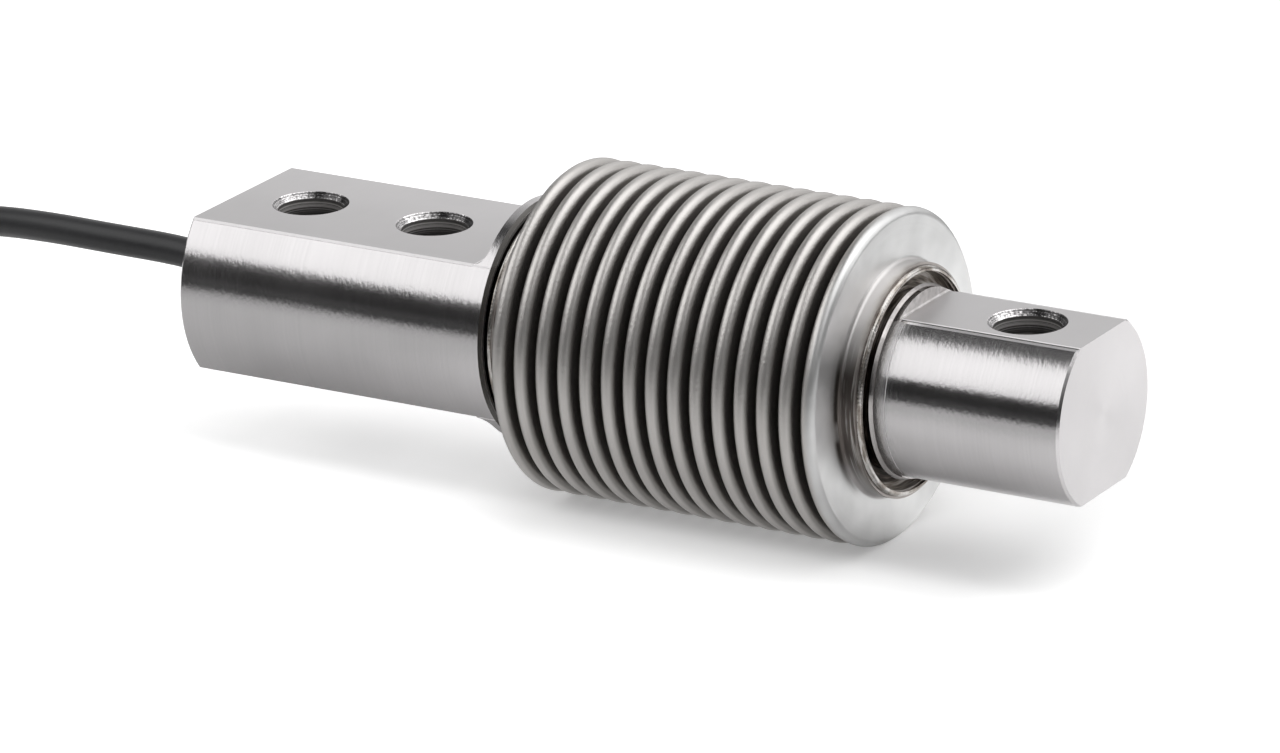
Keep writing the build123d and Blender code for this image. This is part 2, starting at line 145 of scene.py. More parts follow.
# Glow of the table in the metal: behind the cell, and on patches given by the soft borders in the west,
# east, south and north and the amount: under the load end, under the bellows, and far in front on the right
MIRRORED_BESIDE = (-0.003, 0.012, 0.06, 0.38)
MIRRORED_FURTHER = (0.025, 0.07, 0.0, 0.17)
MIRRORED_PATCHES = (
    ((0.026, 0.036), (0.056, 0.066), (-0.003, 0.003), (0.010, 0.018), 0.26),
    ((-0.026, -0.016), (0.024, 0.034), (-0.022, -0.014), (-0.006, 0.0), 0.17),
    ((0.045, 0.075), (0.3, 0.4), (-0.4, -0.3), (-0.03, 0.0), 0.24),
)

# Lamps: azimuth from -Y towards +X and elevation in degrees, distance, width and height in metres, radiance
LAMPS = {
    "key_softbox": (-55, 40.7, 0.70, 0.90, 0.478, 1.38),
    "top_softbox": (115, 68, 0.80, 1.00, 0.90, 1.30),
    "fill_softbox": (57, 42, 0.80, 0.32, 0.40, 0.70),
    "rim_softbox": (131, 22, 0.80, 0.42, 0.60, 0.90),
}
ONLY_MIRRORED_LAMP = "rim_softbox"

# Camera, from the fit to the photo
AZIMUTH = math.radians(30.935)
ELEVATION = math.radians(19.259)
ROLL = math.radians(-1.334)
CAMERA_PLACE = Vector((0.45098, -0.75776, 0.3237))
LENS = 217.03
SENSOR_WIDTH = 36

BLACK = (0, 0, 0, 1)
WHITE = (1, 1, 1, 1)


# Small tools


def axis_point(x, y=0.0, z=0.0):
    """A point counted from the mounting end and from the cell's axis, in the row frame."""
    return Vector(((x - LENGTH / 2) * MM, y * MM, (z + AXIS_HEIGHT) * MM))


def deselect():
    if bpy.context.object and bpy.context.object.mode == "EDIT":
        bpy.ops.object.mode_set(mode="OBJECT")
    bpy.ops.object.select_all(action="DESELECT")


# Shader tools


def math_node(tree, operation, a, b=None, c=None):
    node = tree.nodes.new("ShaderNodeMath")
    node.operation = operation
    for i, value in enumerate((a, b, c)):
        if value is None:
            continue
        if isinstance(value, (int, float)):
            node.inputs[i].default_value = value
        else:
            tree.links.new(value, node.inputs[i])
    return node.outputs[0]


def times(tree, first, *others):
    """The product of values or masks."""
    for other in others:
        first = math_node(tree, "MULTIPLY", first, other)
    return first


def either(tree, first, *others):
    """The largest of several masks."""
    for other in others:
        first = math_node(tree, "MAXIMUM", first, other)
    return first


def inverse(tree, mask):
    return math_node(tree, "SUBTRACT", 1.0, mask)


def add_to(tree, value, mask, amount):
    """The value raised by an amount where the mask is set."""
    return math_node(tree, "MULTIPLY_ADD", mask, amount, value)


def above(tree, value, limit):
    return math_node(tree, "GREATER_THAN", value, limit)


def below(tree, value, limit):
    return math_node(tree, "LESS_THAN", value, limit)


def between(tree, value, low, high):
    return times(tree, above(tree, value, low), below(tree, value, high))


def along_axis(tree, x, span):
    """A mask of one stretch of the cell."""
    return between(tree, x, (span[0] - LENGTH / 2) * MM, (span[1] - LENGTH / 2) * MM)


def length_of(tree, a, b):
    return math_node(tree, "SQRT", math_node(tree, "MULTIPLY_ADD", a, a, times(tree, b, b)))


def smooth_step(tree, value, low, high, first=0.0, last=1.0):
    """A soft change from first at low to last at high; low may lie above high."""
    node = tree.nodes.new("ShaderNodeMapRange")
    node.interpolation_type = "SMOOTHSTEP"
    node.inputs["From Min"].default_value = low
    node.inputs["From Max"].default_value = high
    node.inputs["To Min"].default_value = first
    node.inputs["To Max"].default_value = last
    tree.links.new(value, node.inputs["Value"])
    return node.outputs["Result"]


def ramp(tree, value, stops):
    node = tree.nodes.new("ShaderNodeValToRGB")
    elements = node.color_ramp.elements
    while len(elements) < len(stops):
        elements.new(0.5)
    for element, (position, colour) in zip(elements, stops):
        element.position = position
        element.color = (*colour, 1) if len(colour) == 3 else colour
    tree.links.new(value, node.inputs[0])
    return node.outputs[0]


def grey_ramp(tree, value, stops):
    return ramp(tree, value, [(position, (level,) * 3) for position, level in stops])


def mix(tree, factor, a, b, kind="FLOAT"):
    node = tree.nodes.new("ShaderNodeMix")
    node.data_type = kind
    slots = {"FLOAT": (2, 3, 0), "RGBA": (6, 7, 2)}[kind]
    for value, index in ((factor, 0), (a, slots[0]), (b, slots[1])):
        if isinstance(value, (int, float, tuple)):
            node.inputs[index].default_value = value
        else:
            tree.links.new(value, node.inputs[index])
    return node.outputs[slots[2]]


def blend(tree, mask, colour, other):
    """The colour with another one over it where the mask is set."""
    return mix(tree, mask, colour, other, "RGBA")


def grey(value, warmth=0.0):
    """A neutral metal colour, a little redder and less blue with warmth."""
    return (value * (1.026 + 0.5 * warmth), value, value * (1.008 - 1.9 * warmth), 1)


def noise_of(tree, place, scale, detail=2.0):
    node = tree.nodes.new("ShaderNodeTexNoise")
    node.inputs["Scale"].default_value = scale
    node.inputs["Detail"].default_value = detail
    tree.links.new(place, node.inputs["Vector"])
    return node.outputs["Fac"]


def noise_along(tree, value, scale, detail, roughness=0.5):
    """Noise over one coordinate."""
    node = tree.nodes.new("ShaderNodeTexNoise")
    node.noise_dimensions = "1D"
    node.inputs["Scale"].default_value = scale
    node.inputs["Detail"].default_value = detail
    node.inputs["Roughness"].default_value = roughness
    tree.links.new(value, node.inputs["W"])
    return node.outputs["Fac"]


def separate(tree, vector):
    node = tree.nodes.new("ShaderNodeSeparateXYZ")
    tree.links.new(vector, node.inputs[0])
    return node.outputs


def coordinates(tree):
    """Object coordinates, split, with z counted from the cell's axis."""
    place = tree.nodes.new("ShaderNodeTexCoord").outputs["Object"]
    x, y, z = separate(tree, place)
    return x, y, math_node(tree, "SUBTRACT", z, AXIS_HEIGHT * MM), place


def stretched(tree, x, y, z, along, across):
    """A place scaled differently along the axis and round it, for marks that run round the cell."""
    node = tree.nodes.new("ShaderNodeCombineXYZ")
    for socket, (value, scale) in enumerate(((x, along), (y, across), (z, across))):
        tree.links.new(times(tree, value, scale), node.inputs[socket])
    return node.outputs[0]


def add_bump(tree, shader, height, distance):
    bump = tree.nodes.new("ShaderNodeBump")
    bump.inputs["Distance"].default_value = distance
    bump.inputs["Strength"].default_value = 1.0
    tree.links.new(height, bump.inputs["Height"])
    tree.links.new(bump.outputs["Normal"], shader.inputs["Normal"])


def new_material(name, **values):
    material = bpy.data.materials.new(name)
    material.use_nodes = True
    shader = material.node_tree.nodes["Principled BSDF"]
    for socket, value in values.items():
        shader.inputs[socket.replace("_", " ")].default_value = value
    return material, material.node_tree, shader


# Shader groups


def group(name, inputs, outputs):
    tree = bpy.data.node_groups.new(name, "ShaderNodeTree")
    for socket, kind, default in inputs:
        made = tree.interface.new_socket(socket, in_out="INPUT", socket_type=kind)
        if default is not None:
            made.default_value = default
    for socket, kind in outputs:
        tree.interface.new_socket(socket, in_out="OUTPUT", socket_type=kind)
    return tree, tree.nodes.new("NodeGroupInput").outputs, tree.nodes.new("NodeGroupOutput").inputs


def use_group(tree, made):
    node = tree.nodes.new("ShaderNodeGroup")
    node.node_tree = made
    return node


def machined_lines():
    """Fine parallel tool lines along one coordinate: a height and a shade that change line by line."""
    tree, given, out = group(
        "machined_lines",
        [("Along", "NodeSocketFloat", 0.0), ("Per Metre", "NodeSocketFloat", 4000.0),
         ("Seed", "NodeSocketFloat", 0.0)],
        [("Height", "NodeSocketFloat"), ("Shade", "NodeSocketFloat")],
    )
    shifted = math_node(tree, "ADD", times(tree, given["Along"], given["Per Metre"]), given["Seed"])
    fine = noise_along(tree, shifted, 1.0, 3.0, 0.7)
    slow = noise_along(tree, shifted, 0.16, 4.0)
    both = add_to(tree, fine, slow, 0.6)
    tree.links.new(both, out["Height"])
    tree.links.new(times(tree, both, 0.625), out["Shade"])
    return tree


def heat_tint():
    """The colours that a weld leaves beside it, from dark brown over straw to bare steel."""
    tree, given, out = group(
        "heat_tint",
        [("Distance", "NodeSocketFloat", 0.0), ("Reach", "NodeSocketFloat", 0.002),
         ("Place", "NodeSocketVector", None)],
        [("Tint", "NodeSocketColor"), ("Mask", "NodeSocketFloat")],
    )
    share = math_node(tree, "DIVIDE", given["Distance"], given["Reach"])
    ragged = math_node(tree, "SUBTRACT", noise_of(tree, given["Place"], 420.0, 4.0), 0.5)
    share = add_to(tree, share, ragged, 0.7)
    tree.links.new(ramp(tree, share, [
        (0.0, (0.18, 0.15, 0.135)), (0.3, (0.30, 0.265, 0.24)),
        (0.6, (0.49, 0.46, 0.42)), (1.0, (0.60, 0.59, 0.57)),
    ]), out["Tint"])
    tree.links.new(smooth_step(tree, share, 0.2, 1.0, 1.0, 0.0), out["Mask"])
    return tree


LINES = machined_lines()
HEAT = heat_tint()


def lines(tree, along, per_metre, seed=0.0):
    node = use_group(tree, LINES)
    tree.links.new(along, node.inputs["Along"])
    node.inputs["Per Metre"].default_value = per_metre
    node.inputs["Seed"].default_value = seed
    return SimpleNamespace(height=node.outputs["Height"], shade=node.outputs["Shade"])


def tinted(tree, colour, x, place, reach, strength):
    """The colour with heat tint over it, by the distance along the axis from the nearer weld seam."""
    node = use_group(tree, HEAT)
    distances = [
        math_node(tree, "ABSOLUTE", math_node(tree, "SUBTRACT", x, (seam - LENGTH / 2) * MM))
        for seam in (MOUNT_SEAM, LOAD_SEAM)]
    tree.links.new(math_node(tree, "MINIMUM", *distances), node.inputs["Distance"])
    node.inputs["Reach"].default_value = reach * MM
    tree.links.new(place, node.inputs["Place"])
    return blend(tree, times(tree, node.outputs["Mask"], strength), colour, node.outputs["Tint"])


# Turned and milled steel of the spring body


def steel_masks(tree, x, y, z, radius):
    """Masks of the kinds of surface that a point of the spring body can lie on."""
    geometry = tree.nodes.new("ShaderNodeNewGeometry")
    normal = separate(tree, geometry.outputs["True Normal"])
    sideways = math_node(tree, "ABSOLUTE", normal["X"])
    upright = math_node(tree, "ABSOLUTE", normal["Z"])
    height = math_node(tree, "ABSOLUTE", z)
    load_side = above(tree, x, 0.0)

    # Holes: the drilled wall and the countersink
    from_hole = None
    for hole in HOLES:
        distance = length_of(tree, math_node(tree, "SUBTRACT", x, (hole - LENGTH / 2) * MM), y)
        from_hole = distance if from_hole is None else math_node(tree, "MINIMUM", from_hole, distance)
    in_hole = times(
        tree, below(tree, from_hole, (HOLE_R + HOLE_CHAMFER + 0.02) * MM), below(tree, upright, 0.9))
    bore = times(tree, in_hole, below(tree, upright, 0.3))
    open_side = inverse(tree, in_hole)

    # Planes: faced ends, milled flats and the shoulders where a flat runs out
    facing = times(tree, open_side, above(tree, sideways, 0.9))
    on_flat = above(tree, upright, 0.999)
    shoulder = times(
        tree, between(tree, sideways, 0.08, 1.1), above(tree, height, (FLAT_HEIGHT - 0.01) * MM),
        along_axis(tree, x, SHOULDERS))

    # Edges painted bright as a painted highlight: beside the flats, thinner at the load end, and where the
    # neck runs out
    round_upright = math_node(tree, "DIVIDE", height, radius)
    off_round = math_node(tree, "ABSOLUTE", math_node(tree, "SUBTRACT", upright, round_upright))
    chamfered = times(
        tree, above(tree, off_round, 0.04), between(tree, upright, 0.5, 0.998), below(tree, sideways, 0.2),
        open_side)
    lowest = math_node(
        tree, "MULTIPLY_ADD", load_side, (EDGE_GLINT - LOAD_EDGE_GLINT) * MM, (FLAT_HEIGHT - EDGE_GLINT) * MM)
    just_below = between(tree, height, (FLAT_HEIGHT - EDGE_GLINT - 0.05) * MM, (FLAT_HEIGHT - 0.005) * MM)
    beside_flat = times(tree, open_side, just_below, inverse(tree, load_side), below(tree, sideways, 0.2))
    run_out = times(tree, along_axis(tree, x, NECK_RUN_OUT), between(tree, sideways, 0.05, 0.6))
    # The lower part of the load end's edge chamfers, painted dark as a painted reflection of dark
    # surroundings
    painted_dark_band = times(tree, chamfered, between(
        tree, height, (FLAT_HEIGHT - UNDER_EDGE[1]) * MM, (FLAT_HEIGHT - UNDER_EDGE[0]) * MM), load_side)

    return SimpleNamespace(
        height=height,
        from_hole=from_hole,
        load_side=load_side,
        bore=bore,
        cone=math_node(tree, "SUBTRACT", in_hole, bore),
        # The countersinks' side that faces the load end, where a painted highlight goes
        lit_cone_side=smooth_step(tree, normal["X"], 0.30, 0.62),
        facing=facing,
        on_flat=on_flat,
        plane=either(tree, facing, on_flat),
        shoulder=shoulder,
        edge=either(tree, times(tree, chamfered, above(tree, height, lowest)), beside_flat, run_out),
        painted_dark_band=painted_dark_band,
        mount_groove=times(
            tree, along_axis(tree, x, MOUNT_GROOVE), below(tree, radius, MOUNT_GROOVE_R * MM)),
        load_groove=times(
            tree, along_axis(tree, x, LOAD_GROOVE),
            between(tree, radius, LOAD_GROOVE_R[0] * MM, LOAD_GROOVE_R[1] * MM)),
        chamfer=times(tree, along_axis(tree, x, MOUNT_CHAMFER), between(tree, sideways, 0.2, 0.9)),
        neck_band=times(
            tree, along_axis(tree, x, NECK_BAND), below(tree, height, (FLAT_HEIGHT - 0.2) * MM)),
    )


def steel_marks(tree, x, z, radius, on):
    """Tool marks by kind of surface."""
    turned = lines(tree, x, 2600.0)
    faced = lines(tree, radius, 2600.0, 40.0)
    milled = lines(tree, x, 1600.0, 90.0)
    drilled = lines(tree, z, 3000.0, 60.0)
    countersunk = lines(tree, on.from_hole, 7000.0, 20.0)
    height = mix(tree, on.facing, turned.height, faced.height)
    height = mix(tree, on.on_flat, height, milled.height)
    height = mix(tree, on.bore, height, times(tree, drilled.height, 16.0))
    height = mix(tree, on.cone, height, times(tree, countersunk.height, 10.0))
    height = mix(tree, on.shoulder, height, times(tree, turned.height, 4.0))
    shade = mix(tree, on.facing, turned.shade, faced.shade)
    shade = mix(tree, on.on_flat, shade, milled.shade)
    shade = mix(tree, times(tree, on.plane, 0.7), shade, 0.5)
    return SimpleNamespace(
        height=height,
        shade=shade,
        turned=turned.shade,
        drilled=drilled.shade,
        countersunk=countersunk.shade,
    )


def steel_colour(tree, x, y, z, place, radius, on, marks, tone):
    colour = ramp(tree, tone, [(0.3, grey(0.565)), (0.7, grey(0.645))])

    # Drilled rings with painted shade that darkens them with depth, and the countersinks' cut marks, painted
    # lighter as a painted highlight on the side that faces the load end
    rings = ramp(tree, marks.drilled, [
        (0.38, grey(0.05, 0.02)), (0.52, grey(0.20, 0.02)), (0.62, grey(0.85, 0.01))])
    bore_painted_shade = smooth_step(tree, on.height, 9.3 * MM, 3.5 * MM, 0.0, 0.65)
    colour = blend(tree, on.bore, colour, blend(tree, bore_painted_shade, rings, grey(0.05, 0.02)))
    sparkle = math_node(
        tree, "MULTIPLY_ADD", marks.countersunk, 0.6, times(tree, noise_of(tree, place, 3800.0, 2.0), 0.4))
    cut_marks = ramp(tree, sparkle, [(0.44, grey(0.04)), (0.53, grey(0.12)), (0.66, grey(0.85))])
    lit_cut_marks = ramp(tree, sparkle, [(0.42, grey(0.14)), (0.50, grey(0.45)), (0.60, grey(0.90))])
    colour = blend(tree, on.cone, colour, blend(tree, on.lit_cone_side, cut_marks, lit_cut_marks))

    # Shoulders: streaked at the mounting end, scraped at the load end
    streaks = ramp(tree, marks.turned, [(0.35, grey(0.15, 0.02)), (0.65, grey(0.46, 0.01))])
    scraped = ramp(tree, noise_of(tree, place, 1100.0, 3.0), [(0.35, grey(0.50)), (0.65, grey(0.72))])
    colour = blend(tree, on.shoulder, colour, blend(tree, on.load_side, streaks, scraped))

    colour = blend(tree, on.load_side, colour, tinted(tree, colour, x, place, 2.4, 0.45))
    colour = blend(tree, on.chamfer, colour, grey(0.13, 0.03))
    # Painted highlight on the edges
    colour = blend(tree, on.edge, colour, grey(0.95))
    # Painted dark reflection on the lower part of the load end's edge chamfers
    colour = blend(tree, on.painted_dark_band, colour, grey(0.20))

    # Burnt grooves beside the welds; on the load groove, painted light makes the soot lighter on top and
    # towards its rim
    soot = noise_of(tree, stretched(tree, math_node(tree, "ADD", x, radius), y, z, 2300.0, 220.0), 1.0, 3.0)
    burnt = ramp(tree, soot, [
        (0.40, (0.022, 0.017, 0.014)), (0.55, (0.065, 0.052, 0.044)), (0.68, (0.21, 0.175, 0.15))])
    soot_painted_lighter = ramp(tree, soot, [
        (0.36, (0.095, 0.08, 0.068)), (0.50, (0.30, 0.265, 0.235)), (0.62, (0.62, 0.59, 0.56))])
    groove_painted_light = either(
        tree, smooth_step(tree, z, 5 * MM, 11 * MM), smooth_step(tree, radius, 12.3 * MM, 12.7 * MM))
    colour = blend(tree, on.load_groove, colour, blend(tree, groove_painted_light, burnt, soot_painted_lighter))
    colour = blend(tree, on.mount_groove, colour, (0.016, 0.013, 0.011, 1))

    # Flats: painted shade darkens them towards the camera's side, and they are darker on the load end
    flat_painted_shade = smooth_step(tree, y, 12 * MM, -12 * MM, 0.0, 0.30)
    dimmed = times(tree, on.on_flat, either(tree, flat_painted_shade, times(tree, on.load_side, 0.30)))
    return blend(tree, dimmed, colour, grey(0.35))


def turned_steel():
    """The spring body: turned round ends, milled flats, faced ends, drilled holes and dark grooves."""
    material, tree, shader = new_material(
        "turned_steel", Metallic=1.0, Anisotropic=0.55, Anisotropic_Rotation=0.25)
    x, y, z, place = coordinates(tree)
    radius = length_of(tree, y, z)
    on = steel_masks(tree, x, y, z, radius)
    marks = steel_marks(tree, x, z, radius, on)
    patches = noise_of(tree, place, 110.0, 3.0)
    tone = math_node(tree, "MULTIPLY_ADD", patches, 0.5, times(tree, marks.shade, 0.5))
    colour = steel_colour(tree, x, y, z, place, radius, on, marks, tone)
    tree.links.new(colour, shader.inputs["Base Color"])

    rough = math_node(tree, "MULTIPLY_ADD", tone, 0.10, 0.14)
    rough = add_to(tree, rough, on.plane, 0.14)
    rough = add_to(tree, rough, on.bore, 0.25)
    rough = add_to(tree, rough, either(tree, on.load_groove, on.edge, on.shoulder), 0.22)
    tree.links.new(rough, shader.inputs["Roughness"])
    # Less metallic on the edges' painted highlight, in the bores and on the neck band
    less_metallic = math_node(tree, "MULTIPLY_ADD", on.edge, 0.9, times(tree, on.bore, 0.2))
    less_metallic = add_to(tree, less_metallic, on.neck_band, 0.25)
    tree.links.new(inverse(tree, less_metallic), shader.inputs["Metallic"])

    grain = noise_of(tree, stretched(tree, x, y, z, 2600.0, 1300.0), 1.0, 2.5)
    waves = noise_of(tree, stretched(tree, x, y, z, 900.0, 260.0), 1.0, 3.0)
    grain = math_node(tree, "MULTIPLY_ADD", grain, 8.0, times(tree, waves, 5.0))
    grain = times(tree, grain, inverse(tree, times(tree, on.plane, 0.85)))
    add_bump(tree, shader, math_node(tree, "ADD", grain, marks.height), 0.0000018)
    tangent = tree.nodes.new("ShaderNodeTangent")
    tangent.direction_type = "RADIAL"
    tangent.axis = "X"
    tree.links.new(tangent.outputs[0], shader.inputs["Tangent"])
    return material


# Other finishes


def satin_steel():
    """The bellows: satin pressed steel, with painted shade on the flanks and in the roots, the last disc
    painted lighter as a painted highlight, burnt at the cuffs.
    """
    material, tree, shader = new_material("satin_steel", Metallic=1.0)
    x, y, z, place = coordinates(tree)
    radius = length_of(tree, y, z)
    drawn = lines(tree, x, 5200.0, 7.0)
    swirls = lines(tree, radius, 1800.0, 3.0)
    disc_start = (LAST_CREST - LENGTH / 2) * MM
    disc = smooth_step(tree, x, disc_start - 0.3 * MM, disc_start + 0.4 * MM)
    colour = ramp(tree, drawn.shade, [(0.25, grey(0.545, 0.020)), (0.75, grey(0.605, 0.020))])
    # Painted shade on the flanks below the crests, weaker near the top and none on the last disc
    flank_painted_shade = smooth_step(tree, radius, (BELLOWS_R - 0.08) * MM, (BELLOWS_R - 0.38) * MM)
    flank_painted_shade = times(tree, flank_painted_shade, smooth_step(tree, z, 19 * MM, 12 * MM, 0.5, 1.0), inverse(tree, disc))
    colour = blend(tree, flank_painted_shade, colour, grey(0.36, 0.025))
    # Painted shade in the roots between the first and last crest
    depth = smooth_step(tree, radius, (BELLOWS_R - 1.3) * MM, (BELLOWS_R - 3.6) * MM)
    colour = blend(
        tree, times(tree, depth, along_axis(tree, x, (FIRST_CREST, LAST_CREST))), colour, grey(0.17, 0.05))
    cloudy = noise_of(tree, place, 160.0, 2.0)
    # The last disc painted lighter and neutral as a painted highlight, in cloudy patches
    disc_painted_light = ramp(tree, cloudy, [(0.35, (0.63, 0.63, 0.627)), (0.65, (0.73, 0.73, 0.727))])
    colour = blend(tree, disc, colour, disc_painted_light)

    # Heat tint on the cuffs and scorch marks on the camera's side
    on_cuff = below(tree, radius, (CUFF_R + 0.35) * MM)
    cuff_base = blend(tree, on_cuff, colour, grey(0.56, 0.010))
    colour = blend(tree, on_cuff, colour, tinted(tree, cuff_base, x, place, 1.5, 0.7))
    streaks = noise_of(tree, stretched(tree, x, y, z, 2600.0, 110.0), 1.0, 3.0)
    beside_cuff = times(tree, disc, smooth_step(tree, radius, 15.9 * MM, 15.0 * MM))
    scorched = times(
        tree,
        smooth_step(tree, streaks, 0.38, 0.51, 0.0, 0.92),
        smooth_step(tree, y, -8.5 * MM, -12.0 * MM),
        smooth_step(tree, z, -10 * MM, -5 * MM, 0.25, 1.0),
        smooth_step(tree, z, 9 * MM, 4 * MM),
        either(tree, on_cuff, beside_cuff))
    colour = blend(tree, scorched, colour, (0.085, 0.07, 0.062, 1))
    tree.links.new(colour, shader.inputs["Base Color"])

    rough = math_node(tree, "MULTIPLY_ADD", drawn.shade, 0.10, 0.34)
    tree.links.new(add_to(tree, rough, flank_painted_shade, 0.08), shader.inputs["Roughness"])
    height = add_to(tree, drawn.height, noise_of(tree, place, 5200.0, 2.0), 4.0)
    height = add_to(tree, height, noise_of(tree, place, 2300.0, 1.0), 7.0)
    smooth = math_node(tree, "MULTIPLY_ADD", cloudy, 22.0, times(tree, swirls.height, 1.2))
    add_bump(tree, shader, mix(tree, disc, height, smooth), 0.000005)
    return material


def weld_bead(name, ripples):
    """A melted seam: fine ripples round the cell, grey with straw and brown tints in patches."""
    material, tree, shader = new_material(name, Metallic=1.0)
    x, y, z, _ = coordinates(tree)
    cloudy = noise_of(tree, stretched(tree, x, y, z, 2600.0, 320.0), 1.0, 3.0)
    turn = times(tree, math_node(tree, "ARCTAN2", z, y), ripples)
    wave = math_node(tree, "SINE", math_node(tree, "MULTIPLY_ADD", cloudy, 4.0, turn))
    colour = ramp(tree, cloudy, [
        (0.32, (0.13, 0.105, 0.09)), (0.44, (0.33, 0.30, 0.27)),
        (0.58, (0.62, 0.60, 0.58)), (0.74, (0.36, 0.34, 0.32))])
    tree.links.new(colour, shader.inputs["Base Color"])
    tree.links.new(math_node(tree, "MULTIPLY_ADD", cloudy, 0.20, 0.16), shader.inputs["Roughness"])
    add_bump(tree, shader, add_to(tree, cloudy, wave, 0.25), 0.00001)
    return material


def plain(name, colour, rough, metallic=0.0, grain=9000.0, depth=0.000004):
    """A finish whose tint, gloss and surface vary a little from place to place."""
    material, tree, shader = new_material(name, Metallic=metallic)
    noise = noise_of(tree, tree.nodes.new("ShaderNodeTexCoord").outputs["Object"], grain, 3.0)
    dark = tuple(0.88 * c for c in colour)
    light = tuple(min(1.0, 1.1 * c) for c in colour)
    tree.links.new(ramp(tree, noise, [(0.3, dark), (0.7, light)]), shader.inputs["Base Color"])
    tree.links.new(math_node(tree, "MULTIPLY_ADD", noise, 0.12, rough - 0.06), shader.inputs["Roughness"])
    add_bump(tree, shader, noise, depth)
    return material


def finish_nodes():
    """Gives each node of the CAD that stays visible its finish."""
    steel = turned_steel()
    finishes = {
        "spring_body": steel,
        "entry_cap": steel,
        "weld_seam_mount": weld_bead("weld_bead_mount", 190.0),
        "weld_seam_load": weld_bead("weld_bead_load", 180.0),
        "cable_bush": plain("bush_rubber", (0.03, 0.03, 0.03), 0.6),
        "entry_potting": plain("potting", (0.04, 0.04, 0.045), 0.3),
        "terminal_board": plain("board", (0.03, 0.20, 0.09), 0.35),
        "board_bond": plain("adhesive", (0.75, 0.68, 0.45), 0.5),
        "trim_resistors": plain("resistor", (0.05, 0.05, 0.06), 0.4),
        "solder_joints": plain("solder", (0.70, 0.70, 0.72), 0.25, metallic=1.0),
        "tinned_ends": plain("tinned_strands", (0.70, 0.70, 0.72), 0.3, metallic=1.0),
        "gauge_leads": plain("lead_copper", (0.72, 0.38, 0.20), 0.3, metallic=1.0),
        "jacket_sleeve": plain("sleeve", (0.03, 0.03, 0.032), 0.55),
        "shield_lead": plain("shield_sleeve", (0.70, 0.65, 0.20), 0.45),
        "hank_tie_far_side": plain("tie_nylon_a", (0.03, 0.03, 0.03), 0.4),
        "hank_tie_near_side": plain("tie_nylon_b", (0.03, 0.03, 0.03), 0.4),
    }
    for name in ("gauge_top_mount", "gauge_top_load", "gauge_bottom_mount", "gauge_bottom_load"):
        finishes[name] = plain(name + "_film", (0.60, 0.34, 0.10), 0.25)
    wires = {
        "green": (0.04, 0.28, 0.08), "black": (0.03, 0.03, 0.03), "blue": (0.03, 0.10, 0.45),
        "white": (0.78, 0.78, 0.76), "red": (0.55, 0.03, 0.03), "grey": (0.32, 0.32, 0.33),
    }
    for number, (name, colour) in enumerate(wires.items(), 1):
        finish = plain("wire_" + name, colour, 0.35)
        finishes["lead_" + name] = finish
        finishes[f"inner_wire_{number}"] = finish
    for name, finish in finishes.items():
        slots = nodes[name].data.materials
        slots.clear()
        slots.append(finish)


# Bellows: its section extruded ring by ring


def extrude_ring_to(x, radius, from_radius, from_x):
    """Extrudes the selected ring round the axis to a new station and radius."""
    bpy.ops.mesh.extrude_region_move(TRANSFORM_OT_translate={"value": ((x - from_x) * MM, 0, 0)})
    scale = radius / from_radius
    bpy.ops.transform.resize(value=(1, scale, scale), center_override=axis_point(x))


def arc(middle_x, middle_r, radius, first, last, steps):
    """Stations of an arc in the section, its angles in degrees from straight out towards the load end."""
    angles = [math.radians(first + (last - first) * k / steps) for k in range(steps + 1)]
    return [(middle_x + radius * math.sin(a), middle_r + radius * math.cos(a)) for a in angles]


def bellows_stations():
    """Stations of the section line, as (x, radius), from the mounting cuff to the load cuff."""
    root_middle = ROOT_OUTER_R + ROOT_R
    cuff_middle = CUFF_R + ROOT_R
    points = [(MOUNT_CUFF_START, CUFF_R)]
    points += arc(FIRST_CREST - PITCH / 2, cuff_middle, ROOT_R, 180, 90, ROOT_STEPS)
    for i in range(CONVOLUTIONS):
        crest = FIRST_CREST + i * PITCH
        points += arc(crest, BELLOWS_R - CREST_R, CREST_R, -90, 90, CREST_STEPS)
        if i < CONVOLUTIONS - 1:
            points += arc(crest + PITCH / 2, root_middle, ROOT_R, 270, 90, ROOT_STEPS)
    points += arc(LAST_CREST + PITCH / 2, cuff_middle, ROOT_R, 270, 180, ROOT_STEPS)
    return points + [(LOAD_CUFF_END, CUFF_R)]


def make_bellows():
    deselect()
    stations = bellows_stations()
    x, radius = stations[0]
    bpy.ops.mesh.primitive_circle_add(
        vertices=RING_VERTICES, radius=radius * MM, location=axis_point(x), rotation=(0, math.pi / 2, 0))
    piece = bpy.context.object
    piece.name = "bellows_skin"
    bpy.ops.object.transform_apply(location=True, rotation=True, scale=True)
    bpy.ops.object.mode_set(mode="EDIT")
    bpy.ops.mesh.select_all(action="SELECT")
    for (x0, r0), (x1, r1) in zip(stations, stations[1:]):
        extrude_ring_to(x1, r1, r0, x0)
    bpy.ops.mesh.select_all(action="SELECT")
    bpy.ops.mesh.normals_make_consistent(inside=False)
    bpy.ops.object.mode_set(mode="OBJECT")
    wall = piece.modifiers.new("wall", "SOLIDIFY")
    wall.thickness = WALL * MM
    wall.offset = -1
    bpy.ops.object.modifier_apply(modifier=wall.name)
    bpy.ops.object.shade_smooth_by_angle(angle=math.radians(40))
    piece.data.materials.append(satin_steel())
    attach(piece, "root")
    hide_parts("bellows")


# Cable


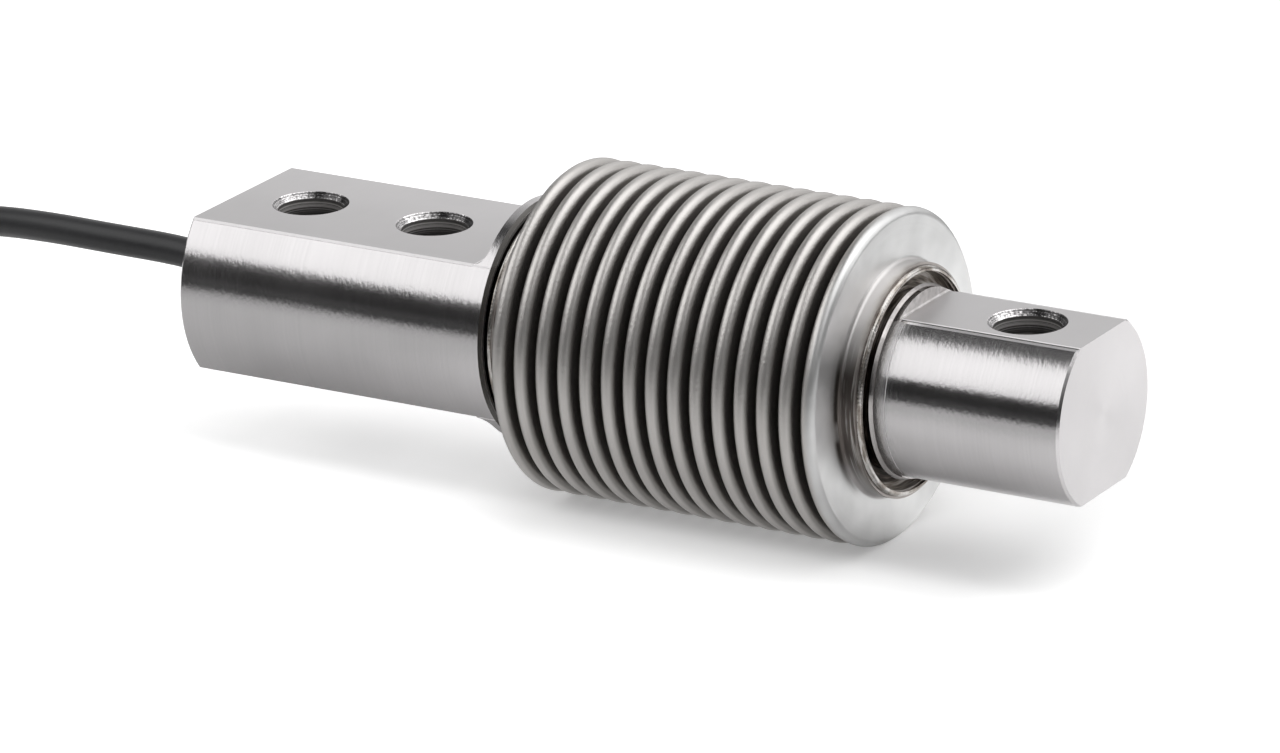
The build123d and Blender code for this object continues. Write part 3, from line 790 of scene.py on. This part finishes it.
def hank_points():
    """Control points of the turns: up the outer column, then down the inner one, tighter under the ties."""
    half = HANK_RUN / 2
    middle_r = FOLD_R + TURN_STEP / 2
    turns = [(FOLD_R + TURN_STEP, k) for k in range(LAYERS)]
    turns += [(FOLD_R, k) for k in reversed(range(LAYERS))]
    points = []
    for (radius, layer), (next_radius, next_layer) in zip(turns, turns[1:] + turns[-1:]):
        z = CABLE_D / 2 + layer * TURN_STEP
        tied_z = HANK_MIDDLE_Z + (layer - (LAYERS - 1) / 2) * TIED_STEP
        tied_radius = middle_r + (radius - middle_r) * TIED_STEP / TURN_STEP
        run = []
        for share in RUN_SHARES:
            across, level = (tied_radius, tied_z) if share == TIED_SHARE else (radius, z)
            run.append((half - 2 * half * share, across, level))
        points += [(HANK_MID_X + along, across, level) for along, across, level in run]
        for i in range(FOLD_STEPS + 1):
            angle = math.pi * i / FOLD_STEPS
            points.append((HANK_MID_X - half - radius * math.sin(angle), radius * math.cos(angle), z))
        points += [(HANK_MID_X - along, -across, level) for along, across, level in run]
        for i in range(FOLD_STEPS + 1):
            # The change to the next layer or column happens round the near fold
            share = i / FOLD_STEPS
            change = share * share * (3 - 2 * share)
            across = radius + (next_radius - radius) * change
            level = CABLE_D / 2 + (layer + (next_layer - layer) * change) * TURN_STEP
            angle = math.pi * share
            points.append((HANK_MID_X + half + across * math.sin(angle), -across * math.cos(angle), level))
    return points


def make_cable():
    points = ROUTE + hank_points() + TAIL
    curve = bpy.data.curves.new("cable_line", "CURVE")
    curve.dimensions = "3D"
    curve.resolution_u = 4
    curve.bevel_depth = CABLE_D / 2 * MM
    curve.bevel_resolution = 5
    curve.use_fill_caps = True
    spline = curve.splines.new("NURBS")
    spline.points.add(len(points) - 1)
    for target, point in zip(spline.points, points):
        target.co = (*(c * MM for c in point), 1.0)
    spline.order_u = 3
    spline.use_endpoint_u = True
    piece = bpy.data.objects.new("cable_jacket", curve)
    scene.collection.objects.link(piece)
    curve.materials.append(plain("black_jacket", (0.022, 0.022, 0.024), 0.42, grain=2500.0, depth=0.00001))
    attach(piece, "root")
    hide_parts("cable", "cable_hank", "cable_tail")


# Floor, light and camera


def make_floor():
    """A table with its brightness set by place, once for the camera and once for the mirroring metal."""
    bpy.ops.mesh.primitive_plane_add(size=TABLE_SIZE)
    floor = bpy.context.object
    floor.name = "floor"
    material, tree, shader = new_material(
        "white_sweep", Roughness=0.9, Specular_IOR_Level=0.0, Emission_Color=WHITE)
    place = tree.nodes.new("ShaderNodeTexCoord").outputs["Object"]
    length = tree.nodes.new("ShaderNodeVectorMath")
    length.operation = "LENGTH"
    tree.links.new(place, length.inputs[0])
    outside = smooth_step(tree, length.outputs["Value"], *TABLE_FADE)
    east, north, _ = separate(tree, place)
    path = tree.nodes.new("ShaderNodeLightPath").outputs

    # Lit by the lamps, but dimmer in the metal to the west and in front
    dimmer = either(tree, smooth_step(tree, east, *DIMMER_WEST), smooth_step(tree, north, *DIMMER_FRONT))
    top = blend(tree, times(tree, dimmer, path["Is Glossy Ray"]), (*(TABLE_WHITE,) * 3, 1), BLACK)
    tree.links.new(blend(tree, outside, top, (*(ROOM_GREY,) * 3, 1)), shader.inputs["Base Color"])

    in_front = math_node(
        tree, "ADD", smooth_step(tree, north, *GLOW_NEAR_FRONT), smooth_step(tree, north, *GLOW_FAR_FRONT))
    under_ends = either(
        tree, smooth_step(tree, east, *GLOW_WEST_END), smooth_step(tree, east, *GLOW_EAST_END))
    glow = mix(tree, outside, math_node(tree, "ADD", in_front, under_ends), ROOM_GLOW)
    for_camera = times(tree, path["Is Camera Ray"], glow)

    beside = smooth_step(tree, north, *MIRRORED_BESIDE)
    mirrored = math_node(tree, "ADD", beside, smooth_step(tree, north, *MIRRORED_FURTHER))
    for west_border, east_border, south_border, north_border, amount in MIRRORED_PATCHES:
        patch = times(
            tree,
            smooth_step(tree, east, *west_border),
            smooth_step(tree, east, *reversed(east_border)),
            smooth_step(tree, north, *south_border),
            smooth_step(tree, north, *reversed(north_border)))
        mirrored = add_to(tree, mirrored, patch, amount)
    for_metal = times(tree, path["Is Glossy Ray"], times(tree, mirrored, inverse(tree, outside)))
    tree.links.new(math_node(tree, "ADD", for_camera, for_metal), shader.inputs["Emission Strength"])
    floor.data.materials.append(material)


def make_world():
    """A dim studio: dark low on the camera's side, a pale wall to the left and a bright one behind."""
    world = bpy.data.worlds.new("studio")
    scene.world = world
    world.use_nodes = True
    tree = world.node_tree
    background = tree.nodes["Background"]
    east, north, rise = separate(tree, tree.nodes.new("ShaderNodeTexCoord").outputs["Generated"])

    left = grey_ramp(tree, rise, [(0.0, 0.09), (0.09, 0.012), (0.50, 0.02), (1.0, 0.05)])
    pale = grey_ramp(tree, rise, [(0.0, 0.30), (0.25, 0.48), (0.50, 0.34), (0.70, 0.08)])
    pale = blend(tree, smooth_step(tree, north, -0.35, 0.12, 0.0, 0.50), pale, BLACK)
    left = blend(tree, smooth_step(tree, east, -0.55, -0.82), left, pale)
    right = grey_ramp(tree, rise, [(0.0, 0.03), (0.25, 0.12), (0.45, 0.30), (1.0, 0.30)])
    front = blend(tree, smooth_step(tree, east, -0.5, 0.2), left, right)

    back = grey_ramp(tree, rise, [(0.0, 0.45), (0.10, 0.82), (0.36, 0.90), (0.60, 0.78), (1.0, 0.65)])
    high_left = math_node(tree, "MULTIPLY_ADD", rise, -0.5, math_node(tree, "ADD", east, 0.165))
    back = blend(tree, smooth_step(tree, high_left, -0.50, -0.68, 0.0, 0.38), back, BLACK)
    turn = math_node(tree, "MULTIPLY_ADD", east, 0.12, north)
    behind = smooth_step(tree, math_node(tree, "MULTIPLY_ADD", rise, 0.35, turn), 0.42, 0.73)
    studio = blend(tree, behind, front, back)

    path = tree.nodes.new("ShaderNodeLightPath").outputs
    tree.links.new(blend(tree, path["Is Camera Ray"], studio, WHITE), background.inputs["Color"])
    background.inputs["Strength"].default_value = 1.0


def softbox(name, azimuth, elevation, distance, width, height, radiance):
    """A rectangular lamp that faces the cell."""
    a, e = math.radians(azimuth), math.radians(elevation)
    direction = Vector((math.sin(a) * math.cos(e), -math.cos(a) * math.cos(e), math.sin(e)))
    data = bpy.data.lights.new(name, "AREA")
    data.shape = "RECTANGLE"
    data.size = width
    data.size_y = height
    data.energy = radiance * math.pi * width * height
    lamp = bpy.data.objects.new(name, data)
    lamp.location = direction * distance + Vector((0, 0, AXIS_HEIGHT * MM))
    lamp.rotation_euler = direction.to_track_quat("Z", "Y").to_euler()
    lamp.visible_camera = False
    lamp.visible_diffuse = name != ONLY_MIRRORED_LAMP
    scene.collection.objects.link(lamp)


def make_camera():
    data = bpy.data.cameras.new("camera")
    data.lens = LENS
    data.sensor_width = SENSOR_WIDTH
    camera = bpy.data.objects.new("camera", data)
    scene.collection.objects.link(camera)
    back = Vector((
        math.sin(AZIMUTH) * math.cos(ELEVATION),
        -math.cos(AZIMUTH) * math.cos(ELEVATION),
        math.sin(ELEVATION)))
    right = Vector((0, 0, 1)).cross(back).normalized()
    up = back.cross(right)
    rolled_right = right * math.cos(ROLL) + up * math.sin(ROLL)
    rolled_up = up * math.cos(ROLL) - right * math.sin(ROLL)
    turn = Matrix((rolled_right, rolled_up, back)).transposed()
    camera.matrix_world = Matrix.Translation(CAMERA_PLACE) @ turn.to_4x4()
    scene.camera = camera


finish_nodes()
make_bellows()
make_cable()
make_floor()
make_world()
for name, values in LAMPS.items():
    softbox(name, *values)
make_camera()
scene.view_settings.view_transform = "Standard"
